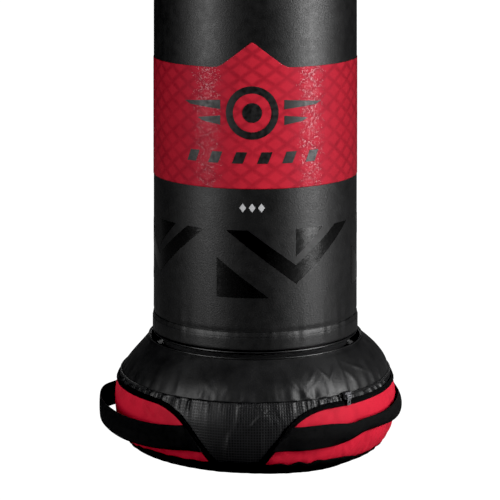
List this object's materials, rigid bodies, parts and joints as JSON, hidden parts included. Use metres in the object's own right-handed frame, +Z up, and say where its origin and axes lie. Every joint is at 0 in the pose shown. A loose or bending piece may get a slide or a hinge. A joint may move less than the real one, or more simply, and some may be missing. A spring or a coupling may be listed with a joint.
{
  "type": "free standing bag",
  "caption": "Padded striking column on a sprung ball-joint neck over a wide soft weighted base with side handles and rear zips.",
  "frame": {"origin": "centre of the base's flat underside, on the floor", "axes": "+Z up along the column, -Y the base's front panel, +X the viewer's right when facing the front"},
  "size_m": [0.6099, 0.556, 1.75],
  "materials": {
    "vinyl_black": "satin fine-grained vinyl",
    "piping_black": "satin",
    "vinyl_red": "satin, embossed with a diamond lattice",
    "nylon_red": "satin woven nylon",
    "ripstop_black": "satin, fine square grid",
    "underside_fabric": "matte",
    "webbing_black": "matte woven",
    "foam_white": "matte",
    "foam_grey": "matte",
    "tube_board": "matte",
    "plywood": "matte",
    "moulded_nylon": "matte",
    "steel_painted": "satin",
    "zinc_steel": "satin",
    "rubber_black": "matte",
    "sand_ballast": "matte bag filled with sand",
    "zip_coil": "satin",
    "zip_metal": "satin"
  },
  "bodies": {
    "base": {"neck_post": "steel_painted", "post_bolts": "zinc_steel", "post_washers": "zinc_steel", "tee_nuts": "zinc_steel", "base_plate": "plywood", "floor_mat": "rubber_black", "ballast_bag_front": "sand_ballast", "ballast_bag_right": "sand_ballast", "ballast_bag_rear": "sand_ballast", "ballast_bag_left": "sand_ballast", "bumper_foam_ring": "foam_white", "shoulder_foam_ring": "foam_white", "deck_foam": "foam_white", "neck_sleeve": "underside_fabric", "shoulder_cover": "vinyl_black", "collar_welt": "piping_black", "gathered_band": "ripstop_black", "front_panel": "ripstop_black", "rear_panel": "ripstop_black", "side_panel_left": "nylon_red", "side_panel_right": "nylon_red", "binding_left": "webbing_black", "binding_right": "webbing_black", "bottom_cover": "underside_fabric", "handle_anchors": "webbing_black", "base_zip_chain": "zip_coil"},
    "neck": {"rebound_bushing": "rubber_black"},
    "column": {"column_cover": "vinyl_black", "hem_band": "vinyl_black", "hem_welt": "piping_black", "top_panel": "vinyl_black", "top_welt": "piping_black", "red_band": "vinyl_red", "foam_jacket": "foam_white", "foam_core": "foam_grey", "crown_pad": "foam_white", "core_tube": "tube_board", "tube_plug": "moulded_nylon", "column_plate": "plywood", "socket_cup": "moulded_nylon", "socket_retainer": "moulded_nylon", "cup_screws": "zinc_steel", "rear_zip_tape": "webbing_black", "rear_zip_chain": "zip_coil"},
    "handle_left": {"handle_left": "webbing_black"},
    "handle_right": {"handle_right": "webbing_black"},
    "rear_zip_slider": {"rear_zip_slider": "zip_metal"},
    "rear_zip_pull": {"rear_zip_pull": "zip_metal"},
    "base_zip_slider": {"base_zip_slider": "zip_metal"},
    "base_zip_pull": {"base_zip_pull": "zip_metal"}
  },
  "joints": [
    {"name": "lean_fore_aft", "type": "hinge", "parent": "base", "child": "neck", "pos_m": [0, 0, 0.219], "axis": [1, 0, 0], "range_deg": [-7, 7], "stiffness_Nm_per_rad": 900, "deforming": ["rebound_bushing"]},
    {"name": "lean_sideways", "type": "hinge", "parent": "neck", "child": "column", "pos_m": [0, 0, 0.219], "axis": [0, 1, 0], "range_deg": [-7, 7], "stiffness_Nm_per_rad": 900},
    {"name": "handle_left_swing", "type": "hinge", "parent": "base", "child": "handle_left", "pos_m": [-0.12494, 0, 0.068], "axis": [0, 1, 0], "range_deg": [-8, 18], "stiffness_Nm_per_rad": 0.5},
    {"name": "handle_right_swing", "type": "hinge", "parent": "base", "child": "handle_right", "pos_m": [0.12494, 0, 0.068], "axis": [0, -1, 0], "range_deg": [-8, 18], "stiffness_Nm_per_rad": 0.5},
    {"name": "rear_zip_travel", "type": "slide", "parent": "column", "child": "rear_zip_slider", "axis": [0, 0, 1], "range_m": [-1.3, 0]},
    {"name": "rear_pull_flip", "type": "hinge", "parent": "rear_zip_slider", "child": "rear_zip_pull", "pos_m": [-0.02094, 0.21358, 1.629], "axis": [0.9952, 0.0976, 0], "range_deg": [0, 150]},
    {"name": "base_zip_travel", "type": "hinge", "parent": "base", "child": "base_zip_slider", "pos_m": [0, 0, 0.1383], "axis": [0, 0, 1], "range_deg": [0, 262]},
    {"name": "base_pull_flip", "type": "hinge", "parent": "base_zip_slider", "child": "base_zip_pull", "pos_m": [0.20419, -0.19041, 0.1383], "axis": [-0.682, -0.7314, 0], "range_deg": [0, 150]}
  ]
}
